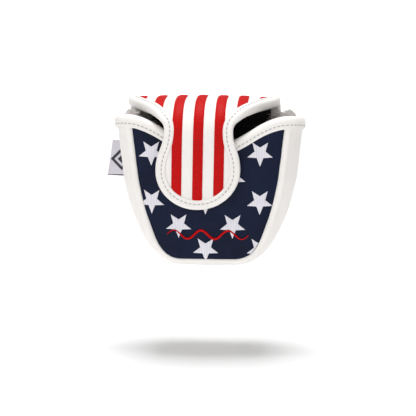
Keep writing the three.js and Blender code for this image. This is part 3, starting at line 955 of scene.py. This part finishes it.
# %% The flap's outline
def flap_edge():
    """(point, inward) along the right half of the flat flap's edge, from the hinge to the tip."""
    lobe = flap_length - lobe_length
    slope = np.array((neck_half_width - wing_half_width, notch_along - wing_side))
    slope /= np.linalg.norm(slope)
    wing = np.array((wing_half_width, wing_side))
    neck = np.array((neck_half_width, notch_along))
    line = [np.array((wing_half_width, y)) for y in np.linspace(0, wing_side - wing_corner, 7)]
    line += bezier([line[-1], wing, wing + slope * wing_corner], 10)[1:]
    line += [lerp(line[-1], neck - slope * notch_corner, k / 16) for k in range(1, 17)]
    line += bezier([line[-1], neck, neck + np.array((0, notch_corner))], 8)[1:]
    side = [line[-1], (neck_half_width, lerp(notch_along, lobe, 0.5)),
            (lobe_half_width, lerp(notch_along, lobe, 0.6)), (lobe_half_width, lobe)]
    line += bezier(side, 14)[1:]
    for k in range(1, 21):
        turn = math.pi / 2 * k / 20
        line.append(np.array((lobe_half_width * math.cos(turn), lobe + lobe_length * math.sin(turn))))
    made = []
    for k, p in enumerate(line):
        way = line[min(k + 1, len(line) - 1)] - line[max(k - 1, 0)]
        if k == len(line) - 1:
            way = np.array((-1.0, 0.0))
        way = way / np.linalg.norm(way)
        made.append((p, np.array((-way[1], way[0]))))
    return made


half_edge = flap_edge()


def whole_edge(inset):
    """The flap's edge moved inwards, from the right of the hinge round the tip to its left."""
    right = [p + n * inset for p, n in half_edge]
    left = [np.array((-p[0], p[1])) for p in right[-2::-1]]
    return right + left


# Each part: where it lies along the flap, and the two bodies that it spans, with the first and the second
# place of a bend between them, in metres.
# Nothing here reads the bodies or the places.
parts = {
    "rear": ((0.0, crest_along), ("cover_body", "flap_top", (0, 0.026, 0.1015), (0, 0.024, 0.111))),
    "front": ((crest_along, flap_length), ("flap_top", "tongue", (0, -0.034, 0.106), (0, -0.034, 0.084))),
}


def bend(obj):
    """Bakes a piece's placement into its mesh. The piece does not turn with the bodies that it spans."""
    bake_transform(obj)


def flap_face(x, along):
    """The leather's height over the plain side view: faint puffs between the stripes."""
    return wander(x, along, 5, 16, 0.45)


def flap_outward(along):
    """The direction that the outer face looks in, in the flap's middle."""
    return Vector(flap_point(0, along, 1)) - Vector(flap_point(0, along, 0))


def flap_sheet(name, part, inset, rise, step, material, nodes, thickness):
    (near, far), _ = parts[part]
    window = (None, None, near if part == "front" else None, far if part == "rear" else None)
    sheet = cut(whole_edge(inset), step, window)
    outward = flap_outward((near + far) / 2)
    lay(sheet, lambda x, along: flap_point(x, along, rise + flap_face(x, along)))
    face_outward(sheet, outward)
    obj = finish_piece(f"{name}_{part}", sheet, material, nodes, thickness, None)
    bend(obj)
    return obj


flap_depth = 3.3  # leather and padding
fleece_start, fleece_depth = 3.5, 0.9
for part, owner in (("rear", "flap_top"), ("front", "tongue")):
    nodes = [f"{owner}_panel", f"{owner}_foam"]
    skin = flap_sheet("padded_flap", part, edge_cover, 0, 2.4, "white_leather", nodes, flap_depth)
    nodes = [f"{owner}_lining"]
    flap_sheet("flap_fleece", part, edge_cover, -fleece_start, 3.0, "black_fleece", nodes, fleece_depth)

# %% [markdown]
# ## Red stripes on the flap
# The same seven bands run over the top, and the three in the middle run down the tongue. Each is
# rows of points across its width, cut short where it meets the binding.

# %% Flap stripes
row_step, row_columns, least_width = 1.4, 6, 0.3


def half_width_at(outline, along):
    """How far out an outline reaches at a distance along the flap."""
    reach = 0.0
    for (x0, s0), (x1, s1) in zip(outline, np.roll(outline, -1, axis=0)):
        if s0 != s1 and (s0 - along) * (s1 - along) <= 0:
            reach = max(reach, lerp(x0, x1, (along - s0) / (s1 - s0)))
    return reach


def stripe_runs(offset, field, near, far):
    """Rows of points across a stripe, in runs broken where the stripe leaves the field."""
    runs = [[]]
    for along in np.linspace(near, far, max(3, round((far - near) / row_step))):
        half = half_width_at(field, along)
        left, right = max(offset - stripe_width / 2, -half), min(offset + stripe_width / 2, half)
        if right - left > least_width:
            runs[-1].append([(lerp(left, right, k / row_columns), along) for k in range(row_columns + 1)])
        elif runs[-1]:
            runs.append([])
    return [run for run in runs if len(run) > 2]


def flap_stripes(part, nodes):
    (near, far), _ = parts[part]
    field = np.array(whole_edge(flap_binding_width - 0.6))
    far = min(far, field[:, 1].max() - 0.2)
    near = max(near, field[:, 1].min() + 0.2)
    strips = []
    for offset in stripe_offsets:
        for run in stripe_runs(offset, field, near, far):
            strip = grid_mesh([[(x, 0, along) for x, along in row] for row in run])
            map_cloth(strip, lambda x, along: (x, along))
            outward = flap_outward(run[len(run) // 2][0][1])
            lay(strip, lambda x, along: flap_point(x, along, flap_face(x, along) + stripe_rise(x - offset)))
            strips.append(face_outward(strip, outward))
    print("flap stripes,", part, len(strips))
    obj = finish_piece(f"stitched_flap_stripes_{part}", join(strips), "red_thread", nodes, 0.6, None)
    bend(obj)


flap_stripes("rear", [f"top_stripe_{k + 1}" for k in range(stripe_count)])
flap_stripes("front", [f"tongue_stripe_{k + 1}" for k in range(3)])

# %% [markdown]
# ## The flap's binding
# A strip of white leather is folded over the flap's edge and sewn through, with one row of
# stitches along its middle. Its section is given as (inset, rise) off the flap's outer face.

# %% Flap binding
hem = [
    (7.0, 0.1), (6.8, 0.8), (6.0, 1.2), (4.9, 1.15), (4.2, 0.8), (3.5, 1.15), (2.2, 1.3), (1.0, 1.0),
    (0.25, 0.2), (0.0, -1.2), (0.0, -3.2), (0.3, -4.7), (1.2, -5.5), (3.0, -5.7), (5.5, -5.6), (6.9, -5.2),
    (7.0, -4.6), (5.0, -4.5), (2.2, -4.45), (1.3, -3.8), (1.2, -2.2), (1.3, -0.6), (2.2, 0.0), (5.0, 0.05),
]
hem_stitch_inset, hem_stitch_rise = 4.2, 0.85


def edge_runs(part):
    """The stretches of the edge that lie in a part, as (point, inward, side) lists."""
    (near, far), _ = parts[part]
    right = [(p, n, 1) for p, n in half_edge if near - 0.01 <= p[1] <= far + 0.01]
    for k in range(len(half_edge) - 1):
        (p, n), (q, m) = half_edge[k], half_edge[k + 1]
        if p[1] < crest_along < q[1]:
            share = (crest_along - p[1]) / (q[1] - p[1])
            cut_here = (lerp(p, q, share), lerp(n, m, share), 1)
    right = right + [cut_here] if part == "rear" else [cut_here] + right
    left = [(p, n, -1) for p, n, _ in right]
    return [right, left] if part == "rear" else [right + left[-2::-1]]


def on_edge(station, inset, rise):
    p, n, side = station
    at = p + n * inset
    return Vector(flap_point(side * at[0], min(flap_length, at[1]), rise + flap_face(at[0] * side, at[1])))


def past_tip(station, inset, rise):
    """Beyond the tip's end the flap's plane simply goes on."""
    p, n, side = station
    at = p + n * inset
    place = on_edge(station, inset, rise)
    place.z -= max(0.0, at[1] - flap_length)
    return place


def flap_binding(part, nodes):
    mesh = bmesh.new()
    for run in edge_runs(part):
        loft_mesh([[past_tip(s, inset, rise) for inset, rise in hem] for s in run], mesh)
    bend(finish_piece(f"folded_flap_binding_{part}", mesh, "white_leather", nodes, body=None))
    mesh = bmesh.new()
    for run in edge_runs(part):
        line = [past_tip(s, hem_stitch_inset, hem_stitch_rise) for s in run]
        above = [past_tip(s, hem_stitch_inset, hem_stitch_rise + 1) for s in run]
        stitch_row(mesh, line, [b - a for a, b in zip(line, above)])
    bend(finish_piece(f"flap_stitches_{part}", mesh, "sewing_thread", body=None))


flap_binding("rear", ["wing_binding_left", "wing_binding_right"])
flap_binding("front", ["tongue_binding"])

# %% [markdown]
# ## Plush at the sides
# The side walls are lined with a long plush that spills into the corners of the mouth. Each tuft
# is a thin strand that leans inwards and curls over. Real hair would be finer, but a few thousand
# thick strands show the same ragged edge and stay ordinary meshes.

# %% Plush tufts
tufts_per_side = 2700


def plush(side):
    """One side's tufts. Those near the back are longer and lie flatter."""
    mesh = bmesh.new()
    for _ in range(tufts_per_side):
        y = random.uniform(-17, 21)
        down = random.uniform(0.5, 13)
        z = side_top(y) + edge_cover - down
        wall = seam_x(z) + bulge_at(z) * wall_crown(y, wall_half_depth) - wall_thickness + 0.8
        root = Vector((side * wall, y, z))
        rear = smooth(y, 2, 12)
        inward = random.uniform(lerp(0.3, 0.9, rear), 1)
        way = Vector((-side * inward, random.uniform(-0.6, 0.6), random.uniform(0.0, lerp(1.2, 0.7, rear))))
        way.normalize()
        length = random.uniform(5, lerp(11.5, 17, rear))
        curl = Vector((-side * 0.3, random.uniform(-0.3, 0.3), -random.uniform(0.1, 0.7)))
        across = way.cross(Vector((0, 0, 1))).normalized()
        other = way.cross(across)
        rings = []
        for k in range(4):
            t = k / 3
            at = root + way * length * t + curl * length * t * t * 0.6
            size = 0.3 * (1 - t) + 0.07
            rings.append([at + (across * math.cos(a) + other * math.sin(a)) * size for a in (0, 2.1, 4.2)])
        loft_mesh(rings, mesh)
    name = "plush_tufts_right" if side > 0 else "plush_tufts_left"
    finish_piece(name, mesh, "grey_plush")


plush(1)
plush(-1)

# %% [markdown]
# ## The side label
# A woven tape, folded double, is sewn into the rear left seam. It curls a little. Its weave holds
# a plain diamond inside another. Along the bottom runs a dark band.

# %% Side label
label_bottom, label_top = 57.0, 82.5
label_length_top, label_length_bottom = 17.0, 24.0
label_root = 0.7
label_ply, label_gap = 0.45, 0.3
label_face = panel_face - 0.9


def woven_label():
    """Damask-woven polyester: fine diagonal yarns, matt, with the pattern in dark yarn and a dark band along
    the bottom.
    """
    tree, bsdf = new_material("woven_label", Roughness=0.7, Sheen_Weight=0.2)
    place = add(tree, "UVMap", uv_map="cloth").outputs["UV"]
    parts_of = add(tree, "SeparateXYZ", {"Vector": place})

    def offset_from(axis, middle_mm):
        moved = both(parts_of.outputs[axis], middle_mm * MM, "SUBTRACT")
        return add(tree, "Math", {0: moved}, operation="ABSOLUTE").outputs[0]

    def both(a, b, operation):
        return add(tree, "Math", {0: a, 1: b}, operation=operation).outputs[0]

    away = both(offset_from("X", 13.5), offset_from("Y", 12.5), "ADD")
    ring = both(both(away, 8.2 * MM, "LESS_THAN"), both(away, 5.4 * MM, "GREATER_THAN"), "MULTIPLY")
    core = both(away, 3.0 * MM, "LESS_THAN")
    # The bottom 1.3 mm of the label are drawn dark.
    foot = both(parts_of.outputs["Y"], 1.3 * MM, "LESS_THAN")
    dark = both(both(ring, core, "MAXIMUM"), foot, "MAXIMUM")
    # The yarns are 0.3 mm apart on the label, drawn at 0.7 mm so that they show.
    yarns = {"Vector": place, "Scale": wave_scale(0.7), "Distortion": 0.4}
    weave = add(tree, "TexWave", yarns, bands_direction="DIAGONAL")
    light = mix_colour(tree, weave.outputs["Fac"], "#BDB9C3", "#D6D2DA")
    tree.links.new(mix_colour(tree, dark, light, "#25252C"), bsdf.inputs["Base Color"])
    bump_from(tree, bsdf, weave.outputs["Fac"], 0.12, 0.5)


def label_ply_mesh(y, columns=12, rows=14):
    """One ply of the tape, from the seam outwards, curled a little."""
    made = []
    for r in range(rows + 1):
        share = r / rows
        z = lerp(label_bottom, label_top, share)
        length = lerp(label_length_bottom, label_length_top, share)
        row = []
        for c in range(columns + 1):
            out = c / columns
            curl = 1.6 * out * out * math.sin(2.2 * share + 0.6) - 0.7 * math.sin(math.pi * out)
            row.append((-seam_x(z) - label_root - out * length, y + curl, z + 0.8 * out))
        made.append(row)
    mesh = map_cloth(grid_mesh(made), lambda x, z: (-x - knee_half_width, z - label_bottom))
    return face_outward(mesh, (0, -1, 0))


woven_label()
inner_ply = label_ply_mesh(label_face)
outer_ply = label_ply_mesh(label_face + label_ply + label_gap)
both_plies = join([inner_ply, outer_ply])
finish_piece("folded_side_label", both_plies, "woven_label", ["side_label"], label_ply, "label")

# %% [markdown]
# ## What stays from the frame
# The two magnets are the frame's own solids. They lie inside the padding and only need a finish.

# %% Magnets
for node in ("front_magnet", "tongue_magnet"):
    solid = bpy.data.objects[node]
    solid.data.materials.clear()
    solid.data.materials.append(materials["magnet"])

# %% [markdown]
# ## Floor, lights and camera
# The cover hangs a little over a white floor, in front of a low sheet of lit paper that keeps the
# horizon white. A wide soft box is overhead, and a larger, weaker one in front fills the panel. The
# world is a plain white, so nothing is lost in black.

# %% Floor
floor_height, tone_size = -63.0, 1250
backdrop_far, backdrop_half_width, backdrop_top = 1.5, 3.0, 0.3  # metres


def floor():
    """A wide white floor, matt, with a tone that hardly varies."""
    tree, bsdf = new_material("pale_floor", Roughness=0.9)
    bsdf.inputs["Specular IOR Level"].default_value = 0.0
    tone = speckle(tree, tone_size, 1.0)
    tree.links.new(mix_colour(tree, tone, "#F7F7F7", "#FBFBFB"), bsdf.inputs["Base Color"])
    bpy.ops.mesh.primitive_plane_add(size=80, location=(0, 0, 0))
    obj = bpy.context.object
    obj.name = "pale_floor"
    for v in obj.data.vertices:
        v.co.z = floor_height * MM
    obj.data.materials.append(materials["pale_floor"])


def backdrop():
    """A sheet of white paper, lit from behind, that stands well behind the cover."""
    tree, bsdf = new_material("backlit_paper", Roughness=0.9, Emission_Strength=1.1)
    tone = speckle(tree, tone_size, 1.0)
    tree.links.new(mix_colour(tree, tone, "#FBFBFB", "#FFFFFF"), bsdf.inputs["Emission Color"])
    sheet = bpy.data.meshes.new("backdrop")
    corners = [
        (x, backdrop_far, z)
        for z, side in ((floor_height * MM, 1), (backdrop_top, -1))
        for x in (-side * backdrop_half_width, side * backdrop_half_width)
    ]
    sheet.from_pydata(corners, [], [(0, 1, 2, 3)])
    obj = bpy.data.objects.new("backdrop", sheet)
    bpy.context.scene.collection.objects.link(obj)
    obj.data.materials.append(materials["backlit_paper"])


floor()
backdrop()

# %% Lights and camera
def soft_box(name, place, look_at, size, power):
    light = bpy.data.lights.new(name, "AREA")
    light.shape, light.size, light.energy = "SQUARE", size, power
    obj = bpy.data.objects.new(name, light)
    obj.location = place
    obj.rotation_euler = (Vector(look_at) - Vector(place)).to_track_quat("-Z", "Y").to_euler()
    bpy.context.scene.collection.objects.link(obj)


soft_box("overhead_box", (-0.02, 0.1, 2.2), (-0.02, 0.1, 0), 1.0, 44)
soft_box("front_box", (-0.4, -1.9, 0.7), (0, 0, 0.06), 1.6, 13)

world = bpy.data.worlds.new("white_room")
world.use_nodes = True
world.node_tree.nodes["Background"].inputs["Color"].default_value = (1, 1, 1, 1)
world.node_tree.nodes["Background"].inputs["Strength"].default_value = 0.38
bpy.context.scene.world = world
bpy.context.scene.view_settings.view_transform = "Standard"

target = Vector((0, -26, 43.3)) * MM
camera_distance = 0.9
turn, rise = math.radians(4), math.radians(10)
away = Vector((math.sin(turn) * math.cos(rise), -math.cos(turn) * math.cos(rise), math.sin(rise)))
lens = bpy.data.cameras.new("camera")
lens.lens, lens.sensor_width = 113.8, 36
camera = bpy.data.objects.new("camera", lens)
camera.location = target + away * camera_distance
camera.rotation_euler = (-away).to_track_quat("-Z", "Y").to_euler()
bpy.context.scene.collection.objects.link(camera)
bpy.context.scene.camera = camera
print("camera at", [round(v, 3) for v in camera.location])
